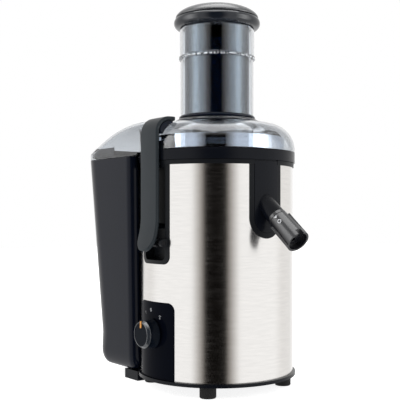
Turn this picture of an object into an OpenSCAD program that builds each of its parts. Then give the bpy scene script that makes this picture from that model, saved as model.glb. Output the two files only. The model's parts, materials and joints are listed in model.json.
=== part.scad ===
// Centrifugal juicer: a round motor base with a brushed steel sleeve, a juice bowl with a
// spinning filter basket under a clear lid, and a pulp container that hooks on behind.
// Millimetres, +Z up. The control knob faces -Y, the spout +X and the pulp container -X.

/* [Body] */
// Outside diameter of the steel sleeve
body_d = 184; // [180:1:188]
// Height of the top edge of the steel sleeve above the table
sleeve_top = 262; // [258:1:266]
// Height of the bottom edge of the steel sleeve above the table
sleeve_bottom = 17.5; // [17:0.5:18]

/* [Lid and feed tube] */
// Height of the joint between the juice bowl and the lid
lid_z = 280; // [279:0.5:281]
// Bore of the feed tube
feed_bore = 84; // [82:1:84]
// Height of the top rim of the feed tube
tube_top = 429.5; // [420:0.5:435]
// Outside diameter of the pusher
pusher_d = 78.8; // [76:0.2:79]
// Height of the top of the pusher cap
cap_top = 460; // [456:1:464]

/* [Pulp container] */
// Reach of the container from the motor axis
bin_reach = 194; // [188:1:200]
// Width of the container at its rim
bin_width = 172; // [168:1:176]

/* [Controls] */
// Diameter of the speed knob
knob_d = 32; // [30:1:34]
// Height of the knob's centre
knob_z = 68.8; // [66:0.2:70]
// Width of each latch arm
latch_w = 33; // [30:0.5:33]

/* [Spout] */
// Angle of the spout below the horizontal
spout_angle = 38; // [36:0.5:39]
// Length of the spout from the apron to its tip
spout_length = 63.5; // [62:0.5:65]

/* [Hidden] */
$fn = 96;

body_r = body_d / 2;
sleeve_t = 1;
housing_r = body_r - 1.2;         // outside of the inner housing's wall
housing_in = housing_r - 3;       // inside of that wall
face_r = body_r + 0.3;            // the housing's bosses stand just proud of the steel
rim_r = body_r + 3;               // rim of the base plate
rim_z = 13.5;
collar_r = body_r + 2.4;          // juice bowl's collar and the lid's skirt
deck_z = 205;
housing_split = 199.5;            // where the upper ring of the housing sits on the lower one
switch_z = 192;                   // interlock switch, above the front latch's pivot
bowl_z = 211;
bowl_r = 81;
bowl_t = 2.5;

window_w = 54;                    // openings in the steel behind the latches
window_bottom = 148.6;
pocket_w = 40.4;
pocket_bottom = 153;
pocket_top = 258.5;
spout_window_w = 47;
spout_window_z = 201.5;           // centre of the round end of the spout's window
panel_w = 66;
panel_top = 105;
gland_z = 53;                     // cord inlet at the back

pin_out = 94.5;                   // latch pivot: distance from the motor axis, and height
pin_z = 173;
pin_r = 2.5;
arm_in = 94.8;
arm_t = 4.8;
hook_tip = 73.5;
hook_z = 313;                     // underside of the hook
arm_bend_z = 203;                 // the arm curves outwards below this height

knob_front = 110;                 // distance of the knob's face from the motor axis
latch_reach = 108.71;             // and of the rear latch's lower end

spout_start = 93;                 // where the spout leaves the apron
spout_z = 215;
neck_r = 10.7;
neck_end = 20;
stub_r = 8.6;
stub_end = 53;
sleeve_r = 13.4;
sleeve_near_r = 12.9;
shell_turn = 52;                  // direction that the sleeve's thicker side faces
notch_turn = 12;                  // direction of the notch in its rim, from the top
notch_half = 3.5;

disc_z = 237;                     // grater disc
mesh_r = [56.5, 73];
mesh_z = [disc_z, 281.6];
band_r = 82;
band_top = 297;

shaft_r = 5;
stator_z = [100, 150];

bin_lid_z = 276.8;                // underside of the lid over the container
bin_z = [12.3, bin_lid_z - 0.4];
bin_gap_r = 97;                   // the container's inner face, round the body
bin_foot_reach = 174;
bin_foot_width = 151;
bin_t = 2.5;

notch_edge = sleeve_near_r * cos(asin(notch_half / sleeve_near_r) - notch_turn);
spout_tip = spout_start + spout_length * cos(spout_angle) + notch_edge * sin(spout_angle);
axis_x = (bin_reach - spout_tip) / 2;
axis_y = (knob_front - latch_reach) / 2;

// ---- helpers ------------------------------------------------------------------------------

// Puts what is drawn round the motor axis into the part's frame, centred on its footprint.
module at_axis() { translate([axis_x, axis_y, 0]) children(); }

function arc(c, r, a0, a1, n = 10) =
    [for (i = [0:n]) let (a = a0 + (a1 - a0) * i / n) [c[0] + r * cos(a), c[1] + r * sin(a)]];

module ring(r_out, r_in, z0, z1) {
    rotate_extrude() translate([r_in, z0]) square([r_out - r_in, z1 - z0]);
}

module disc(r, z0, z1) { translate([0, 0, z0]) cylinder(r = r, h = z1 - z0); }

module revolve(points) { rotate_extrude() polygon(points); }

module spokes(count, r, turn = 0) {
    for (i = [0:count - 1]) rotate([0, 0, turn + i * 360 / count]) translate([r, 0, 0]) children();
}

// An outline in (x, z) pushed along -Y, from y = -y0 to y = -y1.
module front_prism(y0, y1) {
    translate([0, -y0, 0]) rotate([90, 0, 0]) linear_extrude(y1 - y0) children();
}

// An outline in (distance in front of the axis, z) made w wide along X.
module side_prism(w) { rotate([90, 0, -90]) linear_extrude(w, center = true) children(); }

// A box given by its low and high corners.
module block(low, high) { translate(low) cube(high - low); }

module both_sides() {
    children();
    rotate([0, 0, 180]) children();
}

// Rounded at the bottom only: latch windows and pockets.
module window(w, z0, z1, r) {
    polygon(concat(arc([-w / 2 + r, z0 + r], r, 180, 270), arc([w / 2 - r, z0 + r], r, 270, 360),
        [[w / 2, z1], [-w / 2, z1]]));
}

// Rounded at the top only: the control panel.
module panel_shape(w, z0, z1, r) {
    polygon(concat(arc([w / 2 - r, z1 - r], r, 0, 90), arc([-w / 2 + r, z1 - r], r, 90, 180),
        [[-w / 2, z0], [w / 2, z0]]));
}

// A U shape with a round end below: the spout's window and apron.
module u_shape(w, z, z1) {
    polygon(concat(arc([0, z], w / 2, 180, 360, 24), [[w / 2, z1], [-w / 2, z1]]));
}

// Along the spout: the origin is where it leaves the apron, and +Z points out of it.
module at_spout() {
    translate([spout_start, 0, spout_z]) rotate([0, 90 + spout_angle, 0]) children();
}

// A cylinder along -Y at height z.
module front_rod(r, y0, y1, z = 0, x = 0) {
    translate([x, -y0, z]) rotate([90, 0, 0]) cylinder(r = r, h = y1 - y0);
}

// A cylinder along X, out in front at distance p and height z.
module cross_rod(r, p, z, half) {
    translate([-half, -p, z]) rotate([0, 90, 0]) cylinder(r = r, h = 2 * half);
}

module bin_outline(reach, width, corner) {
    polygon(concat(arc([-reach + corner, -width / 2 + corner], corner, 270, 180),
        arc([-reach + corner, width / 2 - corner], corner, 180, 90),
        [[-20, width / 2], [-20, -width / 2]]));
}

// ---- motor base ---------------------------------------------------------------------------

foot_r = 80;
boss_r = 77.5;

module base_plate() {
    color("#1a1b1d") at_axis() difference() {
        union() {
            revolve([[0, rim_z], [rim_r, rim_z], [rim_r, sleeve_bottom - 0.1],
                [86, sleeve_bottom - 0.1], [86, 24], [84, 24], [84, 16.5], [0, 16.5]]);
            // Ledge and tongue that carry the pulp container.
            difference() {
                union() {
                    block([-98, -71, 0.4], [-68, 71, 12]);
                    block([-83, -44, 11], [-69, 44, rim_z + 0.5]);
                }
                disc(68, 0, rim_z - 0.001);
            }
            block([-150, -30, 2], [-90, 30, 12]);
            block([-140, -5, 11], [-98, 5, 14.8]);
        }
        for (a = [0:15:345]) rotate([0, 0, a]) block([22, -1.6, 0], [38, 1.6, 20]);
        spokes(4, foot_r, 45) cylinder(r = 4.1, h = 30);
        spokes(4, foot_r, 0) disc(2.1, -1, 30);
        spokes(4, foot_r, 0) disc(4, -1, rim_z + 1.5);
    }
}

module rubber_feet() {
    color("#222222") at_axis() spokes(4, foot_r, 45) {
        translate([0, 0, 1]) cylinder(r = 9.5, h = rim_z - 1.1);
        cylinder(r1 = 8.8, r2 = 9.5, h = 1);
        disc(4, rim_z - 0.2, 20);
    }
}

module base_screws() {
    color("silver") at_axis() spokes(4, foot_r, 0) {
        disc(3.6, rim_z - 1, rim_z + 1.4);
        disc(1.9, rim_z + 1.4, 32);
    }
}

module window_cutters() {
    both_sides() front_prism(70, 110) window(window_w, window_bottom, 300, 9);
    front_prism(70, 110) panel_shape(panel_w + 0.6, 0, panel_top + 0.3, 9.3);
    rotate([0, 0, 90]) front_prism(70, 110) u_shape(spout_window_w, spout_window_z, 300);
    rotate([0, 0, 180]) front_rod(11.2, 70, 110, gland_z);
}

module outer_shell() {
    color("#c9c7c2") at_axis() difference() {
        ring(body_r, body_r - sleeve_t, sleeve_bottom, sleeve_top - 0.1);
        window_cutters();
    }
}

// The black boss that fills a latch window, and the ears that hold the pivot pin.
module latch_boss() {
    intersection() {
        disc(face_r, 140, sleeve_top);
        union() {
            front_prism(75, 100) window(window_w - 0.6, window_bottom + 0.3, housing_split, 8.7);
            front_prism(82.2, 100) window(window_w - 0.6, window_bottom + 0.3, sleeve_top, 8.7);
        }
    }
    for (s = [-1, 1]) translate([s * 22.6, 0, 0]) {
        cross_rod(4.4, pin_out, pin_z, 2);
        block([-2, -pin_out, pin_z - 4.4], [2, -86, pin_z + 4.4]);
    }
}

module latch_pocket() {
    front_prism(84, 110) window(pocket_w, pocket_bottom, pocket_top, 6);
    front_prism(78, 90) window(pocket_w, pocket_bottom, 196, 6);
    cross_rod(pin_r + 0.05, pin_out, pin_z, 40);
}

module housing() {
    difference() {
        union() {
            difference() {
                ring(housing_r, housing_in, sleeve_bottom, sleeve_top);
                both_sides() front_prism(70, 110) window(pocket_w, pocket_bottom, pocket_top, 6);
            }
            ring(body_r + 1, 84, sleeve_top, 267);
            both_sides() latch_boss();
            intersection() {
                disc(face_r, 170, sleeve_top);
                rotate([0, 0, 90]) front_prism(84.6, 100)
                    u_shape(spout_window_w - 0.6, spout_window_z, 300);
            }
            spokes(4, foot_r, 0) disc(4.5, 24.2, 40);
            spokes(4, foot_r, 0) block([-1, -2, 24.2], [9, 2, 40]);
            for (x = [-28, 28], z = [66, 124]) rotate([0, 0, 180]) front_rod(3, 65.8, 84, z, x);
        }
        both_sides() latch_pocket();
        rotate([0, 0, 90]) front_prism(82.5, 110) u_shape(34.4, spout_window_z, 300);
        front_rod(5, 80, 100, knob_z);
        front_rod(3.08, 70, 90, switch_z);
        front_rod(5.3, 70, 76.6, switch_z);
        rotate([0, 0, 180]) front_rod(11.1, 80, 110, gland_z);
        spokes(4, foot_r, 0) disc(1.95, 10, 36);
    }
}

module inner_housing() {
    color("#202225") at_axis() intersection() {
        housing();
        disc(120, 0, housing_split);
    }
}

module upper_housing() {
    color("#202225") at_axis() difference() {
        housing();
        disc(120, 0, housing_split);
    }
}

module deck_ring() {
    color("#202225") at_axis() difference() {
        union() {
            ring(housing_in - 0.05, 74, housing_split + 0.1, deck_z - 0.1);
            spokes(4, boss_r, 22.5) disc(4.5, 188, housing_split + 0.5);
        }
        spokes(4, boss_r, 22.5) disc(1.95, 180, 210);
        both_sides() block([-27, -100, 190], [27, -82.1, 210]);
        block([84.4, -24, 190], [100, 24, 210]);
    }
}

module motor_deck() {
    color("#2a2c2f") at_axis() difference() {
        union() {
            revolve([[5.4, deck_z], [80.6, deck_z], [80.6, 208], [11, 208], [11, 225], [8.3, 225],
                [8.3, 217.5], [5.4, 217.5]]);
            spokes(4, 52, 45) disc(6.5, 175.2, deck_z + 0.5);
        }
        spokes(4, boss_r, 22.5) disc(2.1, 200, 212);
        spokes(4, 52, 45) disc(3.1, 170, 196);
    }
}

module deck_screws() {
    color("silver") at_axis() spokes(4, boss_r, 22.5) {
        disc(3.4, 208.05, 210.4);
        disc(1.85, 191, 208.05);
    }
}

module control_panel() {
    color("#101418") at_axis() difference() {
        intersection() {
            ring(body_r + 0.9, body_r - 1.1, sleeve_bottom, 120);
            front_prism(70, 110) panel_shape(panel_w, 10, panel_top, 9);
        }
        front_rod(5, 80, 110, knob_z);
    }
}

module cord_gland() {
    color("#222222") at_axis() rotate([0, 0, 180]) difference() {
        union() {
            front_rod(10.9, 82, 93, gland_z);
            front_rod(13.5, 92.2, 95, gland_z);
        }
        front_rod(4.2, 70, 110, gland_z);
    }
}

module fan_shroud() {
    color("#3a3d40") at_axis() difference() {
        union() {
            ring(53, 51, 16.6, 46);
            ring(60, 52.5, 16.6, 18.6);
        }
        for (a = [30:60:330]) rotate([0, 0, a]) block([45, -8, 30], [60, 8, 40]);
    }
}

// ---- motor --------------------------------------------------------------------------------

bolt_r = 41;

module motor_stator() {
    color("#6f7174") at_axis() difference() {
        union() {
            ring(46, 38, stator_z[0], stator_z[1]);
            intersection() {
                ring(38.5, 26, stator_z[0], stator_z[1]);
                block([-20, -45, 90], [20, 45, 160]);
            }
        }
        spokes(4, bolt_r, 45) disc(2.2, 90, 160);
    }
}

module field_coils() {
    color("#b4622d") at_axis() both_sides() {
        for (s = [-1, 1]) translate([s * 23.3, -20, 0]) block([-2.7, -4, 94], [2.7, 4, 156]);
        for (z = [94, 150.4]) block([-23.5, -33, z], [23.5, -23.5, z + 5.6]);
    }
}

module bracket_hub(z0, z1) { ring(16, 12.05, z0, z1); }

module upper_bracket() {
    color("#a9abae") at_axis() difference() {
        union() {
            bracket_hub(156, 166.9);
            ring(16, 6, 163.2, 166.9);
            for (a = [0, 90]) rotate([0, 0, a + 45]) difference() {
                block([-59, -8, 162], [59, 8, 166.9]);
                disc(13, 150, 170);
            }
            spokes(4, bolt_r, 45) disc(5, stator_z[1] + 0.1, 163);
        }
        spokes(4, 52, 45) disc(3.15, 150, 170);
        spokes(4, bolt_r, 45) disc(2.1, 140, 170);
    }
}

module lower_bracket() {
    color("#a9abae") at_axis() difference() {
        union() {
            bracket_hub(49, 60);
            ring(16, 6, 56.2, 60);
            for (a = [0, 90]) rotate([0, 0, a + 45]) difference() {
                block([-48, -7, 56], [48, 7, 60]);
                disc(13, 40, 70);
            }
            difference() {
                block([-46, -6, 56], [46, 6, 60]);
                disc(13, 40, 70);
            }
            spokes(4, bolt_r, 45) disc(5, 59, stator_z[0] - 0.1);
            for (s = [-1, 1]) translate([s * 41, 0, 0]) block([-4, -6, 59], [4, 6, 77.4]);
        }
        spokes(4, bolt_r, 45) disc(2.1, 40, 110);
    }
}

module bearing(z) {
    ring(12, 9.4, z, z + 7);
    ring(7.4, shaft_r + 0.03, z, z + 7);
    ring(9.5, 7.3, z + 0.8, z + 6.2);
}

module upper_bearing() { color("silver") at_axis() bearing(156.1); }

module lower_bearing() { color("silver") at_axis() bearing(49.1); }

module tie_bolts() {
    color("#8d8f92") at_axis() spokes(4, bolt_r, 45) {
        disc(2, 53, 169.5);
        disc(3.8, 53, 55.9);
        translate([0, 0, 167]) cylinder(r = 3.8, h = 2.5, $fn = 6);
    }
}

module motor_mounts() { color("#222222") at_axis() spokes(4, 52, 45) ring(7.1, 3.2, 167, 175.1); }

module motor_screws() {
    color("silver") at_axis() spokes(4, 52, 45) {
        translate([0, 0, 158.4]) cylinder(r = 5, h = 3.5, $fn = 6);
        disc(3, 161.8, 195);
    }
}

module brush_holders() {
    color("#b99a4b") at_axis() both_sides() difference() {
        block([17, -5, 77.5], [45, 5, 88.5]);
        block([16, -3.6, 79.4], [43.5, 3.6, 86.6]);
    }
}

module carbon_brushes() {
    color("#2b2b2b") at_axis() both_sides() block([15.15, -3.5, 79.5], [34, 3.5, 86.5]);
}

module motor_shaft() {
    color("#b8babd") at_axis() {
        disc(shaft_r, 22, 228);
        disc(4, 228, 239);
    }
}

module armature_core() {
    color("#808285") at_axis() difference() {
        ring(25.2, shaft_r + 0.02, stator_z[0] + 1, stator_z[1] - 1);
        for (a = [0:30:330]) rotate([0, 0, a]) block([13, -1.8, 90], [30, 1.8, 160]);
    }
}

module armature_windings() {
    color("#b4622d") at_axis() {
        ring(23, 8, stator_z[1] - 0.9, 155);
        ring(23, 8, 92.5, stator_z[0] + 0.9);
        for (a = [0:30:330]) rotate([0, 0, a]) block([13.2, -1.6, 99], [23, 1.6, 151]);
    }
}

module commutator() {
    color("#b87333") at_axis() difference() {
        ring(15, shaft_r + 0.02, 74, 91);
        for (a = [0:15:345]) rotate([0, 0, a]) block([13.6, -0.3, 70], [16, 0.3, 89]);
    }
}

module cooling_fan() {
    color("#3a3d40") at_axis() {
        ring(10, shaft_r + 0.02, 26, 42);
        ring(47, 9.5, 40, 42);
        for (a = [0:36:324]) rotate([0, 0, a]) translate([26, 0, 0]) rotate([0, 0, 32])
            block([-17, -0.9, 28], [21, 0.9, 40.5]);
    }
}

module drive_coupling() {
    color("#2a2c2f") at_axis() difference() {
        union() {
            translate([0, 0, 229]) cylinder(r = 10.4, h = 12, $fn = 6);
            disc(7.5, 228.2, 230);
        }
        disc(4.05, 220, 239.2);
    }
}

module shaft_seal() {
    color("#2b2b2b") at_axis() revolve([[shaft_r + 0.08, 220], [6.2, 218.2], [8.25, 218.2],
        [8.25, 224.2], [shaft_r + 0.08, 224.2]]);
}

// ---- controls and wiring ------------------------------------------------------------------

module speed_board() {
    color("#2f6b46") at_axis() block([-34, 64, 60], [34, 65.6, 130]);
}

module heat_sink() {
    color("#a9abae") at_axis() {
        block([-24, 60, 80], [2, 63.8, 116]);
        for (x = [-24, -17.5, -11, -4.5, 0]) translate([x, 50.5, 80]) cube([2, 10, 36]);
    }
}

module suppressor() {
    color("#c9b24a") at_axis() block([12, 52, 84], [28, 63.9, 108]);
}

module rotary_switch() {
    color("#dcdcd4") at_axis() difference() {
        union() {
            front_rod(13, 70, 84, knob_z);
            front_rod(5.5, 83, 86.6, knob_z);
            for (x = [-8, 0, 8]) translate([x, 0, 0])
                block([-1.2, -70.5, knob_z - 8], [1.2, -62, knob_z - 4]);
        }
        front_rod(3.08, 72, 100, knob_z);
    }
}

module switch_spindle() { color("#dcdcd4") at_axis() front_rod(3, 73, 105.8, knob_z); }

knob_profile = concat([[3.05, 94.2], [16.9, 94.2], [17.1, 95.4], [16.4, 100], [16, 105]],
    arc([knob_d / 2 - 1.6, knob_front - 1.6], 1.6, 0, 90, 6),
    [[13.6, knob_front], [13.1, knob_front - 0.7], [0, knob_front - 0.7], [0, 106], [3.05, 106]]);

module speed_knob() {
    color("#15171a") at_axis() translate([0, 0, knob_z]) difference() {
        rotate([90, 0, 0]) revolve(knob_profile);
        block([-1.3, -knob_front - 1, 7.4], [1.3, -knob_front + 1.5, 15.3]);
    }
}

module knob_pointer() {
    color("#e0902f") at_axis() translate([0, 0, knob_z]) intersection() {
        block([-1.2, -knob_front, 7.5], [1.2, -knob_front + 1.45, 15.2]);
        front_rod(15.2, 90, 112);
    }
}

module interlock_switch() {
    color("#26282b") at_axis() {
        block([-9.5, -71.5, switch_z - 9], [9.5, -61.5, switch_z + 4]);
        front_rod(1.6, 71, 72, switch_z);
    }
}

module interlock_plunger() {
    color("#b5362c") at_axis() {
        front_rod(3, 72.3, 95, switch_z);
        front_rod(5, 72.3, 73.4, switch_z);
    }
}

// ---- juice bowl and spout -----------------------------------------------------------------

bowl_wall = [[bowl_r, bowl_z], [bowl_r, lid_z - 2.5], [collar_r - 2.4, lid_z - 2.5],
    [collar_r - 2.4, 267.2], [collar_r, 267.2], [collar_r, lid_z], [bowl_r - bowl_t, lid_z],
    [bowl_r - bowl_t, bowl_z]];

// Two opposite openings: in line with the sleeve's own when it is open, covered after a
// quarter turn.
module ports(z0, z1) {
    for (a = [0, 180]) rotate([0, 0, a]) translate([0, 0, z0]) linear_extrude(z1 - z0)
        polygon(concat(arc([0, 0], 6, -42, 42, 12), arc([0, 0], 1.4, 42, -42, 4)));
}

module juice_bowl() {
    color("#1c1d20") at_axis() difference() {
        union() {
            revolve(bowl_wall);
            both_sides() intersection() {
                ring(collar_r, collar_r - 2.4, lid_z - 0.5, 289);
                front_prism(80, 110) window(40, 270, 300, 1);
            }
        }
        at_spout() translate([0, 0, -22]) cylinder(r = 7.5, h = 30);
    }
}

// Floor of the bowl, with the chimney round the shaft.
module bowl_floor() {
    color("#1c1d20") at_axis() {
        ring(bowl_r - bowl_t, 13, bowl_z, bowl_z + bowl_t);
        ring(15.5, 13, bowl_z, 229);
    }
}

module spout_neck() {
    color("#1c1d20") at_axis() difference() {
        union() {
            intersection() {
                ring(body_r + 0.7, 89.6, 180, lid_z - 2.6);
                rotate([0, 0, 90]) front_prism(80, 110) u_shape(33.8, spout_window_z, 300);
            }
            for (y = [-12, 12]) translate([0, y, 0]) block([81.5, -1, 240], [91, 1, lid_z - 2.6]);
            difference() {
                at_spout() translate([0, 0, -18]) cylinder(r = neck_r, h = 18 + neck_end);
                disc(bowl_r + 0.05, 200, 260);
            }
            at_spout() cylinder(r = stub_r, h = stub_end);
        }
        difference() {
            ring(collar_r + 1, collar_r - 2.5, 266, lid_z);
            disc(85, 260, 290);
        }
        at_spout() translate([0, 0, -22]) cylinder(r = 7.5, h = 22 + neck_end - 2);
        at_spout() translate([0, 0, -2]) cylinder(r = 6.2, h = stub_end);
        at_spout() ports(stub_end - 3, stub_end + 1);
        at_spout() translate([0, 0, 24]) rotate_extrude() translate([stub_r - 1.2, 0]) square([2, 2.6]);
    }
}

module spout_o_ring() {
    color("#3a3d40") at_axis() at_spout() translate([0, 0, 25.3]) rotate_extrude() translate([8.05, 0])
        circle(r = 0.6, $fn = 24);
}

module spout_sleeve() {
    color("#1f2124") at_axis() at_spout() difference() {
        union() {
            translate([0, 0, neck_end + 0.5]) cylinder(r = 11.2, h = 4);
            translate([0, 0, neck_end + 4]) cylinder(r = 10.8, h = 2);
            translate([0, 0, neck_end + 5.2])
                cylinder(r1 = 11.4, r2 = sleeve_near_r, h = spout_length - neck_end - 5.2);
            intersection() {
                translate([0, 0, 28]) cylinder(r = sleeve_r, h = spout_length - 28);
                rotate([0, 0, shell_turn]) block([-2.3, -20, 20], [20, 20, 70]);
            }
        }
        translate([0, 0, 10]) cylinder(r = stub_r + 0.08, h = stub_end - 10 + 0.3);
        ports(stub_end, stub_end + 3);
        translate([0, 0, stub_end + 2.8]) cylinder(r = 11.2, h = 60);
        rotate([0, 0, notch_turn])
            block([-20, -notch_half, stub_end + 4], [-9, notch_half, spout_length + 2]);
    }
}

// ---- spinning filter basket ---------------------------------------------------------------

module basket_hub() {
    color("#e4e4e0") at_axis() difference() {
        revolve(concat([[0, 230.6], [20, 230.6], [20, disc_z - 0.1], [16.6, disc_z - 0.1], [16.6, 242]],
            arc([10.6, 242], 6, 0, 90, 6), [[0, 248]]));
        translate([0, 0, 230]) cylinder(r = 10.8, h = 11.6, $fn = 6);
    }
}

module grater_disc() {
    color("#b8babd") at_axis() difference() {
        union() {
            ring(56, 16.8, disc_z, disc_z + 1.2);
            for (i = [0:7], j = [0:5])
                rotate([0, 0, i * 45 + j * 5]) translate([22 + j * 6, 0, disc_z + 1])
                    rotate([0, -28, 0]) block([-1, -1, 0], [1, 1, 1.8]);
        }
        for (i = [0:7]) rotate([0, 0, i * 45 + 33]) block([24, -0.6, 230], [50, 0.6, 240]);
    }
}

module filter_mesh() {
    color("#9fa1a4") at_axis() revolve([[mesh_r[0], mesh_z[0]], [mesh_r[0] + 0.8, mesh_z[0]],
        [mesh_r[1] + 0.8, mesh_z[1]], [mesh_r[1], mesh_z[1]]]);
}

module basket_rim() {
    color("#c9c7c2") at_axis() {
        revolve([[72.4, 281.7], [band_r, 281.7], [band_r, band_top], [band_r - 1, band_top],
            [band_r - 1, 283.4], [72.4, 283.4]]);
    }
}

// ---- lid and feed tube --------------------------------------------------------------------

dome_c = [collar_r - 31.4, lid_z + 3];
dome_t = 2.5;

// The solid under the lid's dome, grown or shrunk by an offset.
module dome_solid(o, z0) {
    revolve(concat([[0, z0], [collar_r + o, z0]], arc(dome_c, 31.4 + o, 0, 80, 16),
        [[50, 317.2 + o], [0, 317.2 + o]]));
}

roof_r = 240;
roof_c = [-45, 317 - roof_r];
roof_bend = 28;                   // degrees of arc before the roof runs straight to the rim

// The solid under the pulp chute's roof: plan outline, side view and end view together.
module chute_solid(o, z0) {
    intersection() {
        translate([0, 0, z0]) linear_extrude(60) bin_outline(bin_reach + o, bin_width + 2 * o, 46 + o);
        rotate([90, 0, 0]) linear_extrude(220, center = true)
            polygon(concat([[0, z0], [0, 317 + o]], arc(roof_c, roof_r + o, 90, 90 + roof_bend, 14),
                [[-bin_reach - 6, lid_z + 3 + o], [-bin_reach - 6, z0]]));
        rotate([90, 0, 90]) linear_extrude(500, center = true)
            polygon(concat([[bin_width / 2 + o, z0]], arc([bin_width / 2 - 10, 307], 10 + o, 0, 90, 8),
                arc([-bin_width / 2 + 10, 307], 10 + o, 90, 180, 8), [[-bin_width / 2 - o, z0]]));
    }
}

module lid() {
    color("#d5dde6", 0.5) at_axis() difference() {
        union() {
            dome_solid(0, lid_z);
            difference() {
                chute_solid(0, bin_lid_z);
                disc(bin_gap_r, 250, lid_z);
            }
            revolve([[44.6, 312], [50, 316], [50, 318.4], [48.4, 320.2], [44.6, 320.2]]);
        }
        dome_solid(-dome_t, lid_z - 1);
        chute_solid(-2.3, bin_lid_z - 1);
        disc(44.6, 200, 400);
        both_sides() front_prism(80, 100) window(40.6, 270, 289.3, 1);
    }
}

module feed_tube() {
    color("#d5dde6", 0.5) at_axis() revolve([[feed_bore / 2, 243], [44.4, 243], [44.4, 394],
        [46, 394.6], [46, 396.2], [45.2, 396.8], [45.2, tube_top - 0.6], [44.6, tube_top],
        [feed_bore / 2, tube_top]]);
}

module pulp_deflector() {
    color("#33373c") at_axis() intersection() {
        difference() {
            chute_solid(-2.6, lid_z + 0.3);
            chute_solid(-4.4, lid_z - 1);
            disc(132, 200, 400);
        }
        disc(300, 200, 290);
    }
}

module lid_catches() {
    color("#1a1b1d") at_axis() both_sides() difference() {
        side_prism(24)
            polygon(concat([[76, 297], [76, hook_z - 0.4]], arc(top_c, 14.1, 90, 20, 8), [[93, 297]]));
        dome_solid(0.05, 270);
    }
}

// ---- latches ------------------------------------------------------------------------------

bend_r = 86;
bend_c = [arm_in + arm_t / 2 + bend_r, arm_bend_z];
top_c = [hook_tip + 6.8, hook_z - 14.5];

module latch_outline() {
    polygon(concat([[hook_tip, hook_z + arm_t]], arc(top_c, 14.5 + arm_t, 90, 0, 12),
        arc(bend_c, bend_r - arm_t / 2, 180, 207, 10), arc(bend_c, bend_r + arm_t / 2, 207, 180, 10),
        arc(top_c, 14.5, 0, 90, 12), [[hook_tip, hook_z]]));
}

module latch() {
    tip_r = latch_w / 2;
    difference() {
        union() {
            intersection() {
                side_prism(latch_w) latch_outline();
                front_prism(60, 120) polygon(concat(arc([0, 179.5], tip_r, 180, 360, 24),
                    [[tip_r, 330], [-tip_r, 330]]));
            }
            cross_rod(4.8, pin_out, pin_z, 14);
            block([-14, -101, pin_z - 2.5], [14, -pin_out, pin_z + 2.5]);
        }
        cross_rod(pin_r + 0.08, pin_out, pin_z, 20);
    }
}

module front_latch() { color("#2f3336") at_axis() latch(); }

module rear_latch() { color("#2f3336") at_axis() rotate([0, 0, 180]) latch(); }

module latch_pins() { color("silver") at_axis() both_sides() cross_rod(pin_r, pin_out, pin_z, 24.2); }

// ---- pusher -------------------------------------------------------------------------------

pusher_r = pusher_d / 2;
pusher_bottom = 250;

module pusher_tube() {
    color("#3a4450") at_axis() revolve([[0, pusher_bottom], [41.5, pusher_bottom], [41.5, 256],
        [pusher_r, 256.6], [pusher_r, 317], [41.4, 317.6], [41.4, 321.4], [pusher_r, 322],
        [pusher_r, 430.2], [pusher_r - 2.2, 430.2], [pusher_r - 2.2, 253], [0, 253]]);
}

cap_split = 443.6;

module pusher_cap() {
    color("#17181b") at_axis() revolve([[38.6, 430.4], [45, 430.4], [48.4, 431.6], [51.2, 434.6],
        [52.4, 438.2], [52.5, 441.4], [52.1, cap_split], [0, cap_split], [0, 440.6], [38.6, 440.6]]);
}

module pusher_cap_top() {
    color("#1d1e21") at_axis() revolve([[0, cap_split + 0.1], [51.4, cap_split + 0.1],
        [51.2, 445.2], [49.6, 448.4], [46, 451.6], [40, 454.8], [32, 457.2], [22, 458.9],
        [11, cap_top - 0.3], [0, cap_top]]);
}

// ---- pulp container -----------------------------------------------------------------------

// Outline of the container at a height, drawn in by an offset.
module bin_slice(z, inset, corner) {
    t = (z - bin_z[0]) / (bin_z[1] - bin_z[0]);
    reach = bin_foot_reach + (bin_reach - bin_foot_reach) * t;
    width = bin_foot_width + (bin_width - bin_foot_width) * t;
    translate([0, 0, z]) linear_extrude(0.01) bin_outline(reach - inset, width - 2 * inset, corner);
}

// The container's outer form, or its cavity: the lower edge is rounded.
module bin_form(inset, z0, z1) {
    difference() {
        hull() {
            bin_slice(z1, inset, 46);
            bin_slice(z0 + 20, inset, 42);
            bin_slice(z0 + 7, inset + 2.5, 40);
            bin_slice(z0, inset + 9, 34);
        }
        disc(bin_gap_r + inset, 0, 300);
    }
}

// Finger scoops down both outer corners of the container.
module grip_scoops() {
    for (s = [-1, 1]) hull() {
        translate([-183, s * 83, 176]) sphere(r = 8, $fn = 24);
        translate([-170, s * 78, 22]) sphere(r = 8, $fn = 24);
    }
}

module pulp_container() {
    color("#26292d") at_axis() difference() {
        bin_form(0, bin_z[0], bin_z[1]);
        difference() {
            bin_form(bin_t, bin_z[0] + bin_t, bin_z[1] + 2);
            block([-146, -8, 0], [-90, 8, 19]);
        }
        block([-141, -5.6, 0], [-80, 5.6, 15.4]);
        grip_scoops();
    }
}

base_plate();
rubber_feet();
base_screws();
outer_shell();
inner_housing();
upper_housing();
deck_ring();
motor_deck();
deck_screws();
control_panel();
cord_gland();
fan_shroud();
motor_stator();
field_coils();
upper_bracket();
lower_bracket();
upper_bearing();
lower_bearing();
tie_bolts();
motor_mounts();
motor_screws();
brush_holders();
carbon_brushes();
speed_board();
heat_sink();
suppressor();
rotary_switch();
interlock_switch();
shaft_seal();
juice_bowl();
bowl_floor();
spout_neck();
spout_o_ring();
lid();
feed_tube();
pulp_deflector();
lid_catches();
latch_pins();
motor_shaft();
armature_core();
armature_windings();
commutator();
cooling_fan();
drive_coupling();
basket_hub();
grater_disc();
filter_mesh();
basket_rim();
front_latch();
rear_latch();
interlock_plunger();
speed_knob();
knob_pointer();
switch_spindle();
spout_sleeve();
pusher_tube();
pusher_cap();
pusher_cap_top();
pulp_container();
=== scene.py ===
import json
import math

import bmesh
import bpy
from mathutils import Matrix, Vector

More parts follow.
